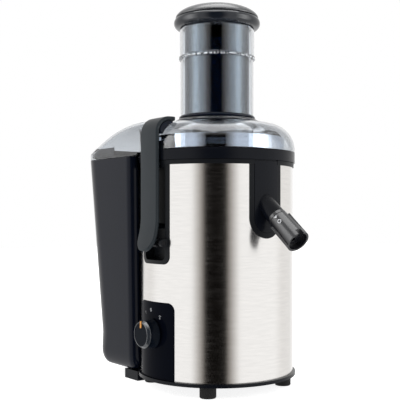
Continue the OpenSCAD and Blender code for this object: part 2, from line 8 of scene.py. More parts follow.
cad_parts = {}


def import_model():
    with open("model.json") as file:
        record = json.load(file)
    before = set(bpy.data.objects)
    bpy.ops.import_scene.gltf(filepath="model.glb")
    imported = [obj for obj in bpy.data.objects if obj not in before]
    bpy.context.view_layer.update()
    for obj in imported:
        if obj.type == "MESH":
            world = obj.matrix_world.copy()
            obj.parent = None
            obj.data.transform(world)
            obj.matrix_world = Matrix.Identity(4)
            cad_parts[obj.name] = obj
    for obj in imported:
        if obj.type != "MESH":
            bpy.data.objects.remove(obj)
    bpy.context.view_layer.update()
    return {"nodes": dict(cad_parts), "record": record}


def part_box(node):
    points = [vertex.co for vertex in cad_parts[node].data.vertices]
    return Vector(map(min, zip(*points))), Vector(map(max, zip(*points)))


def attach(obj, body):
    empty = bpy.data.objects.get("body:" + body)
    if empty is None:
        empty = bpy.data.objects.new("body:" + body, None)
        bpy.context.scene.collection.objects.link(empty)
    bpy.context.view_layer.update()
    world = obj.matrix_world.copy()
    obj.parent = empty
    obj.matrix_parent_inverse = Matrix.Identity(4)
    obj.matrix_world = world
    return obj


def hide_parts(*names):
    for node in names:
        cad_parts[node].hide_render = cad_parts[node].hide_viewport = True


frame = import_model()

# A centrifugal juicer: the knob's side looks along -Y, the spout along +X, the container along -X.
MM = 0.001
SHELL_LOW, SHELL_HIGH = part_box("outer_shell")
AXIS = Vector(((SHELL_LOW.x + SHELL_HIGH.x) / 2, (SHELL_LOW.y + SHELL_HIGH.y) / 2, 0))
CAMERA_TURN = math.radians(52.3)  # the camera stands to the right of the knob's side
RIM_R = 94.4  # outside of the lid's rim


# ---- shape helpers: millimetres from the motor axis, metres in the mesh ---------------------


def at(x, y, z):
    return AXIS + Vector((x, y, z)) * MM


def arc(centre, radius, start, end, steps=10):
    """Points on a circle in a plane, angles in degrees."""
    turns = [math.radians(start + (end - start) * i / steps) for i in range(steps + 1)]
    return [(centre[0] + radius * math.cos(t), centre[1] + radius * math.sin(t)) for t in turns]


def rounded(points, radius, steps=3, closed=True):
    """The outline with each corner replaced by a short curve."""
    found = []
    count = len(points)
    for i, here in enumerate(points):
        if not closed and i in (0, count - 1):
            found.append(here)
            continue
        p = Vector(here)
        before = Vector(points[i - 1]) - p
        after = Vector(points[(i + 1) % count]) - p
        reach = min(radius, before.length * 0.45, after.length * 0.45)
        a = p + before.normalized() * reach
        b = p + after.normalized() * reach
        for j in range(steps + 1):
            t = j / steps
            found.append(tuple(a * (1 - t) ** 2 + p * 2 * t * (1 - t) + b * t * t))
    return found


def new_object(name, bm, material, body, replaces=(), smooth=True):
    """A visible piece that rides on a body and may stand for CAD nodes."""
    bmesh.ops.recalc_face_normals(bm, faces=bm.faces)
    mesh = bpy.data.meshes.new(name)
    bm.to_mesh(mesh)
    bm.free()
    for face in mesh.polygons:
        face.use_smooth = smooth
    mesh.materials.append(material)
    obj = bpy.data.objects.new(name, mesh)
    bpy.context.scene.collection.objects.link(obj)
    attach(obj, body)
    if replaces:
        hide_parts(*replaces)
    return obj


def loft(rings, closed_ring=True, cap_start=False, cap_end=False):
    """A bmesh with faces between neighbouring rings of points."""
    bm = bmesh.new()
    rows = [[bm.verts.new(p) for p in ring] for ring in rings]
    count = len(rows[0])
    spans = count if closed_ring else count - 1
    for low, high in zip(rows, rows[1:]):
        for i in range(spans):
            j = (i + 1) % count
            bm.faces.new((low[i], low[j], high[j], high[i]))
    if cap_start:
        bm.faces.new(rows[0])
    if cap_end:
        bm.faces.new(rows[-1])
    return bm


def supported(profile, gap=1.0, long=4.0):
    """The closed profile with extra points near the ends of its long stretches."""
    found = []
    for a, b in zip(profile, profile[1:] + profile[:1]):
        found.append(a)
        length = math.dist(a, b)
        if length > long:
            for t in (gap / length, 1 - gap / length):
                found.append((a[0] + (b[0] - a[0]) * t, a[1] + (b[1] - a[1]) * t))
    return found


def lathe(profile, frame_matrix=None, segments=160):
    """Revolves (radius, height) points round +Z of frame_matrix. The profile is closed."""
    place = frame_matrix or Matrix.Translation(AXIS)
    bm = bmesh.new()
    rows = []
    for radius, height in supported(profile):
        if radius < 1e-6:
            rows.append([bm.verts.new(place @ Vector((0, 0, height * MM)))])
            continue
        turns = [2 * math.pi * i / segments for i in range(segments)]
        ring = [Vector((radius * math.cos(t), radius * math.sin(t), height)) * MM for t in turns]
        rows.append([bm.verts.new(place @ p) for p in ring])
    for a, b in zip(rows, rows[1:] + rows[:1]):
        join_rows(bm, a, b)
    return bm


def join_rows(bm, a, b):
    """Faces between two rings of vertices, either of which may be a single point."""
    if len(a) == 1 and len(b) == 1:
        return
    count = max(len(a), len(b))
    for i in range(count):
        j = (i + 1) % count
        if len(a) == 1:
            bm.faces.new((a[0], b[j], b[i]))
        elif len(b) == 1:
            bm.faces.new((a[i], a[j], b[0]))
        else:
            bm.faces.new((a[i], a[j], b[j], b[i]))


def box_bm(low, high):
    """A box between two corners."""
    bm = bmesh.new()
    bmesh.ops.create_cube(bm, size=1)
    low, high = Vector(low), Vector(high)
    for v in bm.verts:
        v.co = at(*[low[k] + (v.co[k] + 0.5) * (high[k] - low[k]) for k in range(3)])
    return bm


def modifier(obj, kind, **settings):
    m = obj.modifiers.new(kind.lower(), kind)
    for key, value in settings.items():
        setattr(m, key, value)
    return m


def soft_bevel(obj, width, segments):
    """Rounds the edges sharper than 50 degrees."""
    modifier(obj, "BEVEL", width=width * MM, segments=segments, limit_method="ANGLE",
             angle_limit=math.radians(50))


def auto_smooth(obj, angle=35):
    """Keeps edges sharper than the angle crisp in shading."""
    mesh = obj.data
    limit = math.radians(angle)
    bm = bmesh.new()
    bm.from_mesh(mesh)
    for edge in bm.edges:
        edge.smooth = len(edge.link_faces) != 2 or edge.calc_face_angle(0) < limit
    bm.to_mesh(mesh)
    bm.free()


def cut(obj, tools):
    """Subtracts closed meshes from obj for good."""
    for bm in tools:
        mesh = bpy.data.meshes.new("tool")
        bmesh.ops.recalc_face_normals(bm, faces=bm.faces)
        bm.to_mesh(mesh)
        bm.free()
        tool = bpy.data.objects.new("tool", mesh)
        bpy.context.scene.collection.objects.link(tool)
        modifier(obj, "BOOLEAN", operation="DIFFERENCE", object=tool, solver="MANIFOLD")
        bake_modifiers(obj)
        bpy.data.objects.remove(tool)


def bake_modifiers(obj):
    """Gives the object the mesh that its modifiers make."""
    graph = bpy.context.evaluated_depsgraph_get()
    done = bpy.data.meshes.new_from_object(obj.evaluated_get(graph))
    obj.modifiers.clear()
    obj.data = done


# ---- materials ------------------------------------------------------------------------------


NOISE_RANGE = (0.3, 0.7)  # where most of a noise texture's values lie
WHITE = (1, 1, 1)


class Tree:
    """A node tree, with short calls to add to it."""

    def __init__(self, tree):
        self.tree = tree

    def add(self, kind, **settings):
        node = self.tree.nodes.new(kind)
        for key, value in settings.items():
            setattr(node, key, value)
        return node

    def feed(self, value, socket):
        """Joins an output to the socket, or sets it to a number or a colour."""
        if isinstance(value, bpy.types.NodeSocket):
            self.tree.links.new(value, socket)
        else:
            socket.default_value = (*value, 1) if isinstance(value, tuple) else value

    def calculate(self, operation, *values):
        node = self.add("ShaderNodeMath", operation=operation)
        for value, socket in zip(values, node.inputs):
            self.feed(value, socket)
        return node.outputs[0]

    def between(self, factor, low, high, source=NOISE_RANGE):
        """The factor, stretched from its source range to the range from low to high."""
        node = self.add("ShaderNodeMapRange")
        self.feed(factor, node.inputs["Value"])
        ends = {"From Min": source[0], "From Max": source[1], "To Min": low, "To Max": high}
        for key, value in ends.items():
            node.inputs[key].default_value = value
        return node.outputs["Result"]

    def mixed(self, factor, a, b):
        node = self.add("ShaderNodeMix", data_type="RGBA")
        for key, value in (("Factor", factor), ("A", a), ("B", b)):
            self.feed(value, node.inputs[key])
        return node.outputs["Result"]


class Nodes(Tree):
    """A material's node tree."""

    def __init__(self, name):
        self.material = bpy.data.materials.new(name)
        self.material.use_nodes = True
        super().__init__(self.material.node_tree)
        self.shader = self.tree.nodes["Principled BSDF"]
        self.place = self.add("ShaderNodeTexCoord").outputs["Object"]

    def set(self, **values):
        """Feeds the shader's sockets."""
        for key, value in values.items():
            self.feed(value, self.shader.inputs[key.replace("_", " ")])

    def noise(self, scale, detail=3, stretch=(1, 1, 1)):
        mapping = self.add("ShaderNodeMapping")
        mapping.inputs["Scale"].default_value = stretch
        self.feed(self.place, mapping.inputs["Vector"])
        node = self.add("ShaderNodeTexNoise")
        node.inputs["Scale"].default_value = scale
        node.inputs["Detail"].default_value = detail
        self.feed(mapping.outputs["Vector"], node.inputs["Vector"])
        return node.outputs["Fac"]

    def bump(self, height, strength, distance, edge=0.0):
        """Fine relief, with a small round on the piece's edges."""
        node = self.add("ShaderNodeBump")
        node.inputs["Strength"].default_value = strength
        node.inputs["Distance"].default_value = distance * MM
        self.feed(height, node.inputs["Height"])
        if edge:
            bevel = self.add("ShaderNodeBevel", samples=4)
            bevel.inputs["Radius"].default_value = edge * MM
            self.feed(bevel.outputs["Normal"], node.inputs["Normal"])
        self.set(Normal=node.outputs["Normal"])


def darker(color, share):
    return tuple(c * share for c in color)


def plastic(name, color, roughness, spread=0.06, grain=0.05, grain_size=900, edge=0.4, shine=0.25):
    """Moulded plastic: uneven gloss, a fine spark-eroded grain and softened edges."""
    n = Nodes(name)
    gloss = n.between(n.noise(60, 4), roughness - spread / 2, roughness + spread / 2)
    n.set(Base_Color=n.mixed(n.noise(35), darker(color, 0.82), color), Roughness=gloss,
          Specular_IOR_Level=shine)
    n.bump(n.noise(grain_size, 2), grain, 0.05, edge)
    return n.material


def metal(name, color, roughness, stretch=(1, 1, 1), scale=400, grain=0.1, aniso=0.0, edge=0.3,
          streak=0.9):
    """Machined, cast or brushed metal; stretch draws the noise out along the brushing."""
    n = Nodes(name)
    fine = n.noise(scale, 4, stretch)
    n.set(Base_Color=n.mixed(fine, darker(color, streak), color), Metallic=1.0,
          Roughness=n.between(fine, roughness * 0.8, roughness * 1.2))
    if aniso:
        tangent = n.add("ShaderNodeTangent", direction_type="RADIAL", axis="Z")
        n.set(Anisotropic=aniso, Anisotropic_Rotation=0.25, Tangent=tangent.outputs["Tangent"])
    n.bump(fine, grain, 0.02, edge)
    return n.material


EDGE_PAINTED_SHADE = 0.3  # painted shade: how much darker the plastic's colour is painted where it is seen edge-on


def clear(name, color):
    """Clear or tinted moulded plastic with faint flow waves, and shade painted into its colour where it
    is seen edge-on.
    """
    n = Nodes(name)
    # painted shade: the colour darkens where the surface is seen edge-on, standing in for the dark edges
    # of clear plastic
    facing = n.add("ShaderNodeLayerWeight")
    facing.inputs["Blend"].default_value = 0.4
    edge_shade_mask = n.calculate("POWER", facing.outputs["Facing"], 2.0)
    n.set(Base_Color=n.mixed(edge_shade_mask, color, darker(color, EDGE_PAINTED_SHADE)), Transmission_Weight=1.0,
          Roughness=n.between(n.noise(40), 0.012, 0.028), IOR=1.49)
    n.bump(n.noise(22, 1), 0.06, 0.4)
    return n.material


def painted_glints(name):
    """Black with small white glints painted into its colour, as on a fine moulded bead: painted
    highlights.
    """
    n = Nodes(name)
    painted_glint_spots = n.between(n.noise(420, 2), -3.2, 3.4)
    n.set(Base_Color=n.mixed(painted_glint_spots, (0.004, 0.008, 0.016), (0.85, 0.88, 0.92)), Roughness=0.15)
    return n.material


HOLES_ROUND = 210
HOLE_PITCH = 1.6  # from one row of holes to the next


def perforated(name):
    """Thin steel with rows of fine round holes."""
    n = Nodes(name)
    shift = n.add("ShaderNodeVectorMath", operation="SUBTRACT")
    shift.inputs[1].default_value = AXIS
    n.feed(n.place, shift.inputs[0])
    split = n.add("ShaderNodeSeparateXYZ")
    n.feed(shift.outputs[0], split.inputs[0])
    turn = n.calculate("ARCTAN2", split.outputs["Y"], split.outputs["X"])
    across = n.calculate("SINE", n.calculate("MULTIPLY", turn, HOLES_ROUND))
    up = n.calculate("SINE", n.calculate("MULTIPLY", split.outputs["Z"], 2 * math.pi / (HOLE_PITCH * MM)))
    solid = n.calculate("LESS_THAN", n.calculate("MULTIPLY", across, up), 0.25)
    n.set(Base_Color=(0.62, 0.62, 0.61), Metallic=1.0, Alpha=solid,
          Roughness=n.between(n.noise(300), 0.25, 0.4))
    return n.material


ROUND_BODY = (0.5, 0.5, 5.0)  # long, thin lines round the body
UPRIGHT = (1, 1, 0.2)
POLISHED = {"spread": 0.03, "grain": 0.01, "grain_size": 300}
MATERIAL = {
    "shell": metal("brushed_steel", (0.95, 0.93, 0.905), 0.2, ROUND_BODY, 120, grain=0.0, aniso=0.6,
                   edge=0.0, streak=0.84),
    "black": plastic("black_satin", (0.004, 0.005, 0.008), 0.24, shine=0.15),
    "housing": plastic("housing_black", (0.006, 0.007, 0.009), 0.4, shine=0.15),
    "charcoal": plastic("charcoal_satin", (0.003, 0.0048, 0.011), 0.18, shine=0.18),
    "latch": plastic("latch_grey", (0.018, 0.024, 0.029), 0.4),
    "gloss_black": plastic("gloss_black", (0.006, 0.008, 0.012), 0.09, edge=0.5, shine=0.5, **POLISHED),
    # painted light: the crown's colour is lighter than the cap's rim, for the light it catches from above
    "cap_top": plastic("cap_top_painted_light", (0.02, 0.022, 0.026), 0.27, 0.03, 0.02, 300, 0.5, 1.0),
    "spout": plastic("spout_black", (0.007, 0.0075, 0.01), 0.24, 0.05, 0.04, 700, 0.5, 0.65),
    "panel": plastic("panel_black", (0.002, 0.0028, 0.006), 0.12, edge=0.3, shine=0.02, **POLISHED),
    "knob": plastic("knob_black", (0.004, 0.006, 0.01), 0.2, shine=0.04),
    # painted highlight: the knob's rim is a lighter copy of the knob's black plastic
    "knob_rim": plastic("knob_rim_painted_highlight", (0.018, 0.022, 0.028), 0.2, shine=1.0),
    "orange": plastic("orange", (0.72, 0.32, 0.07), 0.3),
    "clear": clear("clear_plastic", (0.91, 0.94, 0.97)),
    "lid": clear("lid_plastic", (0.84, 0.87, 0.905)),
    "smoke": clear("smoke_plastic", (0.03, 0.055, 0.1)),
    "rubber": plastic("rubber", (0.014, 0.014, 0.014), 0.75, 0.1, 0.25, 1500),
    "steel": metal("satin_steel", (0.66, 0.67, 0.68), 0.1, UPRIGHT, 500, grain=0.0),
    # painted reflection: the rim's steel is tinted blue so that its reflections look navy, as seen
    # through the lid
    "rim": metal("polished_steel_painted_blue", (0.6, 0.66, 0.75), 0.04, UPRIGHT, 500, grain=0.0),
    "screw": metal("plated", (0.7, 0.7, 0.7), 0.2),
    "mesh": perforated("perforated_steel"),
    "white": plastic("white_plastic", (0.78, 0.78, 0.74), 0.35),
    "iron": metal("laminated_iron", (0.3, 0.3, 0.31), 0.45, (0.1, 0.1, 8), 600, 0.4),
    "copper": metal("enamelled_wire", (0.72, 0.32, 0.14), 0.32, (1, 6, 1), 500, 0.4),
    "comm": metal("commutator_copper", (0.78, 0.45, 0.25), 0.25),
    "brass": metal("brass", (0.75, 0.6, 0.3), 0.3),
    "carbon": plastic("carbon", (0.03, 0.03, 0.03), 0.6),
    "alu": metal("cast_aluminium", (0.7, 0.7, 0.71), 0.45, scale=800, grain=0.4),
    "board": plastic("circuit_board", (0.06, 0.24, 0.12), 0.4),
    "yellow": plastic("yellow_case", (0.72, 0.55, 0.1), 0.4),
    "dark_steel": metal("blackened_steel", (0.03, 0.03, 0.032), 0.5),
    "dark": plastic("dark_plastic", (0.007, 0.008, 0.012), 0.42),
    # painted shade: a dark navy standing in for where the clear tube and lid look dark; used on the
    # tube's collar, the lid's step line and the lid's catches
    "navy": plastic("navy_painted_shade", (0.003, 0.006, 0.014), 0.1, shine=0.15),
    "bead": painted_glints("bead_painted_glints"),
    "mark": plastic("printed_mark", (0.9, 0.92, 0.95), 0.5),
}


# Pieces whose finish is glossier or darker than their slot's usual one.
FINISH = {"control_panel": "panel", "spout_sleeve": "spout", "basket_rim": "rim"}


def paint_cad_nodes():
    """Every CAD node gets a finish, since some of them stay visible."""
    slots = {part["node"]: part["material_slot"] for part in frame["record"]["subparts"]}
    for name, obj in frame["nodes"].items():
        obj.data.materials.clear()
        obj.data.materials.append(MATERIAL[FINISH.get(name, slots[name])])


# ---- pusher, cap and feed tube --------------------------------------------------------------


CAP_SEAT = 430.4  # underside of the cap, on the tube's top edge
SEAM_R = 48.6  # where the cap's crown meets its rim
PUSHER_R = 39.4
PUSHER_GUIDE_R = 41.4  # the two guide bands that fit the tube
TUBE_IN, TUBE_OUT = 42, 44.4
BEAD_LOW, BEAD_HIGH = 394.3, 396.5  # the moulded bead round the tube


def cap():
    under = [(38.6, 440.6), (38.6, CAP_SEAT), (45, CAP_SEAT)]
    side = arc((45.6, 437.6), 6.9, -70, 46, 16)
    profile = rounded(under, 0.6, 3, closed=False) + side + [(49.6, 442.8), (SEAM_R, 442.9)]
    body = new_object("cap_body", lathe(profile), MATERIAL["gloss_black"], "pusher",
                      ["pusher_cap"])
    rise = [(50.4 * math.cos(math.radians(a)), 443.8 + 16.2 * math.sin(math.radians(a)) ** 1.1)
            for a in range(2, 90, 3)]
    top = [(0, 441), (SEAM_R, 441), (SEAM_R, 443.4), (49.8, 443.5)] + rise + [(0, 460)]
    # the crown takes the lighter cap_top colour, light from above painted in
    crown = new_object("cap_top", lathe(top), MATERIAL["cap_top"], "pusher",
                       ["pusher_cap_top"])
    return [body, crown]


def pusher():
    r, guide = PUSHER_R, PUSHER_GUIDE_R
    lower_guide = [(guide + 0.1, 250), (guide + 0.1, 256), (r, 256.8)]
    upper_guide = [(r, 316.6), (guide, 317.4), (guide, 321.4), (r, 322.2)]
    inside = [(r, 430.2), (r - 2.2, 430.2), (r - 2.2, 253), (0, 253)]
    profile = rounded([(0, 250)] + lower_guide + upper_guide + inside, 0.7, 3)
    return new_object("pusher_body", lathe(profile), MATERIAL["smoke"], "pusher",
                      ["pusher_tube"])


def ripple(v):
    """Moves a vertex of the tube's bead in or out a little, so that it glints unevenly."""
    side = v.co - AXIS
    on_bead = BEAD_LOW * MM < side.z < BEAD_HIGH * MM
    if on_bead and math.hypot(side.x, side.y) > 45 * MM:
        turn = math.atan2(side.y, side.x)
        swell = 0.35 * math.sin(36 * turn) * math.sin(61 * turn + 1)
        v.co += Vector((side.x, side.y, 0)).normalized() * swell * MM


def feed_tube():
    """The tube with a dark collar at its foot, which is painted shade, and a line of painted glints along
    its bead.
    """
    bead = [(TUBE_OUT, 393.4), (46, 394.4), (46, 396.2), (45.2, 397.2)]
    profile = [(TUBE_IN, 243), (TUBE_OUT, 243)] + bead + [(45.2, 429.4), (TUBE_IN, 429.4)]
    bm = lathe(rounded(profile, 0.7, 3), segments=360)
    for v in bm.verts:
        ripple(v)
    # painted highlights: the line along the bead carries white glint spots in its colour
    line = [(44.6, 393)] + arc((45.4, 394), 0.95, -120, 60, 8) + [(44.6, 394.4)]
    new_object("feed_tube_bead", lathe(line), MATERIAL["bead"], "base")
    # painted shade: a dark navy ring where the foot of the clear tube looks dark
    ring = [(44.43, 320.4)] + arc((44.6, 322.6), 1.8, -80, 80, 12) + [(44.43, 325)]
    foot = new_object("feed_tube_collar", lathe(ring), MATERIAL["navy"], "base")
    return foot, new_object("feed_tube_body", bm, MATERIAL["clear"], "base", ["feed_tube"])


# ---- lid ------------------------------------------------------------------------------------

DOME_ARC = (63, 283, 31.4)  # radius and height of the shoulder's centre, and its own radius
BOSS_R = 50.3  # outside of the raised ring at the foot of the tube
RIM_Z, CHUTE_Z = 280, 276.8  # lower edges of the round rim and of the cover over the container
CHUTE_REACH = 194
CHUTE_HALF = 86
CHUTE_CORNER = 46
COVER_FROM = 97  # where the edge lies farther out than this, it belongs to the cover
NOTCH_HALF, NOTCH_TOP = 20.3, 289.3  # the two gaps in the rim behind the latches
CATCH_HALF = 15.6
LID_SEGMENTS, LID_STEPS, SKIRT_STEPS = 288, 44, 6


def dome_height(r):
    """The round part's top, by distance from the axis."""
    cx, cz, radius = DOME_ARC
    flat = 317.2 - 0.18 * max(0, r - 50)
    if r <= cx:
        return flat
    return min(flat, cz + math.sqrt(max(0, radius ** 2 - (r - cx) ** 2)))


def roof_height(x):
    """The cover's ridge: a wide arc, then a straight slope down to its far end."""
    radius, cx, cz = 240, -45, 77
    bend = math.radians(28)
    x_end = cx - radius * math.sin(bend)
    if x > x_end:
        return cz + math.sqrt(radius ** 2 - (x - cx) ** 2)
    z_end = cz + radius * math.cos(bend)
    return z_end - (x_end - x) * (z_end - 283) / (x_end + 200)


def edge_distance(x, y):
    """How far a point lies inside the chute's plan outline."""
    corner_x = -CHUTE_REACH + CHUTE_CORNER
    corner_y = CHUTE_HALF - CHUTE_CORNER
    if x < corner_x and abs(y) > corner_y:
        return CHUTE_CORNER - math.hypot(x - corner_x, abs(y) - corner_y)
    return min(x + CHUTE_REACH, CHUTE_HALF - abs(y))


def chute_height(x, y):
    top = roof_height(x) - 0.02 * max(0, x + 45) ** 2
    edge = min(10, (top - CHUTE_Z) * 0.5)
    d = edge_distance(x, y)
    if d < 0:
        return top - edge + d * 8
    if d < edge:
        return top - edge + math.sqrt(edge ** 2 - (edge - d) ** 2)
    return top


def lid_height(x, y):
    """The higher of dome and cover, with a fillet where they meet."""
    a = dome_height(math.hypot(x, y))
    b = chute_height(x, y)
    fillet = 5.0
    near = max(fillet - abs(a - b), 0) / fillet
    return max(a, b) + near * near * fillet * 0.25


def chute_radius(turn):
    """Distance from the axis to the chute's outline in a direction, or 0."""
    c, s = math.cos(turn), math.sin(turn)
    if c > -0.2:
        return 0
    low, high = 60.0, 260.0
    for _ in range(40):
        middle = (low + high) / 2
        if edge_distance(middle * c, middle * s) > 0:
            low = middle
        else:
            high = middle
    return low


def lid_row(turn):
    """Points from the tube out to the lid's edge and down its skirt, in one direction."""
    c, s = math.cos(turn), math.sin(turn)
    reach = max(RIM_R, chute_radius(turn))
    bottom = CHUTE_Z if reach > COVER_FROM else RIM_Z
    top = lid_height(reach * c, reach * s)
    row = []
    for j in range(LID_STEPS + 1):
        r = 46 + (reach - 46) * math.sin(j / LID_STEPS * math.pi / 2)
        row.append(at(r * c, r * s, lid_height(r * c, r * s)))
    for j in range(1, SKIRT_STEPS + 1):
        row.append(at(reach * c, reach * s, bottom + (top - bottom) * (1 - j / SKIRT_STEPS)))
    return row


def lid():
    """The clear lid, the boss that holds the tube, and a step line round the boss, painted dark as shade.
    """
    rings = [lid_row(2 * math.pi * i / LID_SEGMENTS) for i in range(LID_SEGMENTS)]
    bm = loft(rings + [rings[0]], closed_ring=False)
    bmesh.ops.remove_doubles(bm, verts=bm.verts, dist=0.02 * MM)
    shell = new_object("lid_shell", bm, MATERIAL["lid"], "base", ["lid"])
    modifier(shell, "SOLIDIFY", thickness=2.3 * MM, offset=-1, use_even_offset=True)
    bake_modifiers(shell)
    cut(shell, [box_bm((-NOTCH_HALF, side - 10, 270), (NOTCH_HALF, side + 10, NOTCH_TOP))
                for side in (-90, 90)])
    auto_smooth(shell, 40)
    boss = rounded([(44.6, 311), (50.2, 315.6), (50.2, 318.4), (48.4, 320.2), (44.6, 320.2)], 0.6, 3)
    # painted shade: a dark navy line round the boss
    step = [(BOSS_R, 317.3), (56.5, 316.1), (56.5, 316.5), (BOSS_R, 317.9)]
    return [shell, new_object("lid_boss", lathe(boss), MATERIAL["clear"], "base"),
            new_object("lid_step", lathe(step), MATERIAL["navy"], "base")]


def lid_catches():
    """The ledges that the latches hook over."""
    outline = [(76, 297), (76, 312.6)] + arc((80.3, 298.5), 14.1, 90, 20, 8) + [(93, 297)]
    bm = bmesh.new()
    for side in (-1, 1):
        ends = [[bm.verts.new(at(x, side * d, z)) for d, z in outline]
                for x in (-CATCH_HALF, CATCH_HALF)]
        join_rows(bm, ends[0], ends[1])
        for end in ends:
            bm.faces.new(end)
    bmesh.ops.recalc_face_normals(bm, faces=bm.faces)
    # painted shade: the catches are coloured dark navy for the shaded gap under the latches' hooks
    obj = new_object("lid_catch", bm, MATERIAL["navy"], "base", ["lid_catches"])
    dome = arc(DOME_ARC[:2], DOME_ARC[2] + 0.05, 0, 90, 24)
    cut(obj, [lathe([(0, 270), (RIM_R, 270)] + dome + [(0, 314.4)])])
    soft_bevel(obj, 0.5, 2)
    auto_smooth(obj, 35)


# ---- pulp container -------------------------------------------------------------------------

BIN_LOW, BIN_TOP = 12.3, 276.4
BIN_FOOT = 20  # height over which the wall curves in to the floor
BIN_GAP_R = 97  # its hollow face, which stands clear of the body
BIN_LIP = 8  # rounding of its two edges beside the body
SCOOP_R = 8  # the long finger scoops in its sides


def bin_ring(z, points=200):
    """The container's outline at a height: the outer U, then back along the face by the body."""
    share = (z - BIN_LOW) / (BIN_TOP - BIN_LOW)
    h = min(1, (z - BIN_LOW) / BIN_FOOT)
    inset = 9 * (1 - math.sqrt(max(0, 1 - (1 - h) ** 2)))
    reach = 174 + 20 * share - inset
    half = (151 + 21 * share) / 2 - inset
    corner = 34 + 12 * min(1, (z - BIN_LOW) / 40) - inset * 0.3
    inner_x = -math.sqrt((BIN_GAP_R + BIN_LIP) ** 2 - (half - BIN_LIP) ** 2)
    start = math.degrees(math.atan2(half - BIN_LIP, inner_x))
    path = arc((inner_x, BIN_LIP - half), BIN_LIP, 180 - start, -90, 16)
    path += arc((-reach + corner, -half + corner), corner, 270, 180, 24)
    path += arc((-reach + corner, half - corner), corner, 180, 90, 24)
    path += arc((inner_x, half - BIN_LIP), BIN_LIP, 90, start - 180, 16)
    outer = resample(path, points)
    back = arc((0, 0), BIN_GAP_R, start, 360 - start, 40)[1:-1]
    return [scooped(x, y, z) for x, y in outer] + [at(x, y, z) for x, y in back]


def resample(path, count):
    """Points at even distances along the path."""
    lengths = [0]
    for a, b in zip(path, path[1:]):
        lengths.append(lengths[-1] + math.dist(a, b))
    found = []
    k = 0
    for i in range(count):
        goal = lengths[-1] * i / (count - 1)
        while k < len(path) - 2 and lengths[k + 1] < goal:
            k += 1
        t = (goal - lengths[k]) / (lengths[k + 1] - lengths[k])
        found.append((path[k][0] + (path[k + 1][0] - path[k][0]) * t,
                      path[k][1] + (path[k + 1][1] - path[k][1]) * t))
    return found


def scooped(x, y, z):
    """A point of the container's wall, pressed in where a finger scoop passes."""
    side = 1 if y > 0 else -1
    top = Vector((-183, side * 83, 176))
    low = Vector((-170, side * 78, 22))
    p = Vector((x, y, z))
    along = (p - low).dot(top - low) / (top - low).length_squared
    centre = low + (top - low) * max(0, min(1, along))
    inward = Vector((0.62, -side * 0.78, 0))
    v = p - centre
    across = v.length_squared - v.dot(inward) ** 2
    if across < SCOOP_R ** 2:
        push = -v.dot(inward) + math.sqrt(SCOOP_R ** 2 - across)
        if push > 0 and v.dot(inward) > -SCOOP_R:
            p += inward * push
    return at(*p)


def container():
    foot_top = BIN_LOW + BIN_FOOT
    heights = [BIN_LOW + BIN_FOOT * (1 - math.cos(math.radians(a))) for a in range(0, 91, 9)]
    heights += [foot_top + (BIN_TOP - foot_top) * i / 60 for i in range(1, 61)]
    bm = loft([bin_ring(z) for z in heights], cap_start=True)
    obj = new_object("container_body", bm, MATERIAL["charcoal"], "pulp_container",
                     ["pulp_container"])
    modifier(obj, "SOLIDIFY", thickness=2.5 * MM, offset=-1, use_even_offset=False)
    bake_modifiers(obj)
    cut(obj, [box_bm((-141, -5.6, 0), (-80, 5.6, 15.4))])
    auto_smooth(obj, 40)


# ---- latches --------------------------------------------------------------------------------


ARM_HALF = 16.5  # half the arm's width
ARM_THICK = 2.4  # half its thickness
ARM_IN = 94.8  # from the axis to the inner face of the upright arm
ARM_MID = ARM_IN + ARM_THICK
ARM_BEND = 86  # radius of the outward sweep at the foot
ARM_BEND_Z = 203
ARM_FOOT_Z = 179.5  # where the rounded foot begins
HOOK = (80.3, 298.5)  # centre of the hook's bend
PIN_Z = 173


def latch_path():
    """(distance from the axis, height) along the middle of the arm."""
    path = []
    for i in range(21):
        a = math.radians(207 - 27 * i / 20)
        path.append((ARM_MID + ARM_BEND + ARM_BEND * math.cos(a), ARM_BEND_Z + ARM_BEND * math.sin(a)))
    path += [(ARM_MID, ARM_BEND_Z + (HOOK[1] - ARM_BEND_Z) * i / 20) for i in range(1, 20)]
    path += arc(HOOK, 14.5 + ARM_THICK, 0, 90, 12)
    path += [(77, 315.4), (73.5, 315.4)]
    return path


def latch_section(p, z, direction, half, corner=1.7):
    """A rounded rectangle across the arm."""
    out = Vector((direction.y, -direction.x))
    corners = [(-half, -ARM_THICK), (half, -ARM_THICK), (half, ARM_THICK), (-half, ARM_THICK)]
    return [(x, p + out.x * t, z + out.y * t) for x, t in rounded(corners, corner, 5)]


def latch(name, body, side):
    """A hooked arm, with a knuckle and a web that join it to its pin."""
    path = latch_path()
    rings = []
    for i, (p, z) in enumerate(path):
        a = Vector(path[max(0, i - 1)])
        b = Vector(path[min(len(path) - 1, i + 1)])
        half = ARM_HALF
        if z < ARM_FOOT_Z:
            half = math.sqrt(max(0.3, ARM_HALF ** 2 - (ARM_FOOT_Z - z) ** 2))
        ring = latch_section(p, z, (b - a).normalized(), half)
        rings.append([at(-x * side, side * d, h) for x, d, h in ring])
    bm = loft(rings, cap_start=True, cap_end=True)
    obj = new_object(name + "_arm", bm, MATERIAL["latch"], body, [name])
    soft_bevel(obj, 0.8, 3)
    place = Matrix.Translation(at(-14, side * 94.5, PIN_Z)) @ Matrix.Rotation(math.radians(90), 4, "Y")
    knuckle = rounded([(2.6, 0), (4.8, 0), (4.8, 28), (2.6, 28)], 0.6, 3)
    new_object(name + "_knuckle", lathe(knuckle, place, 64), MATERIAL["housing"], body)
    near, far = sorted((side * 95.8, side * 101))
    web = box_bm((-14, near, PIN_Z - 2.5), (14, far, PIN_Z + 2.5))
    new_object(name + "_web", web, MATERIAL["housing"], body, smooth=False)


# ---- knob, panel marks and spout marks ------------------------------------------------------

KNOB_Z = 68.8
KNOB_FACE = 109.2  # from the axis
PANEL_R = 92.95  # just outside the panel's face


def pointer_slot(half, front, back, length):
    """The space of the orange pointer on the knob's face."""
    start = KNOB_Z + 7.4
    return box_bm((-half, -front, start), (half, -back, start + length))


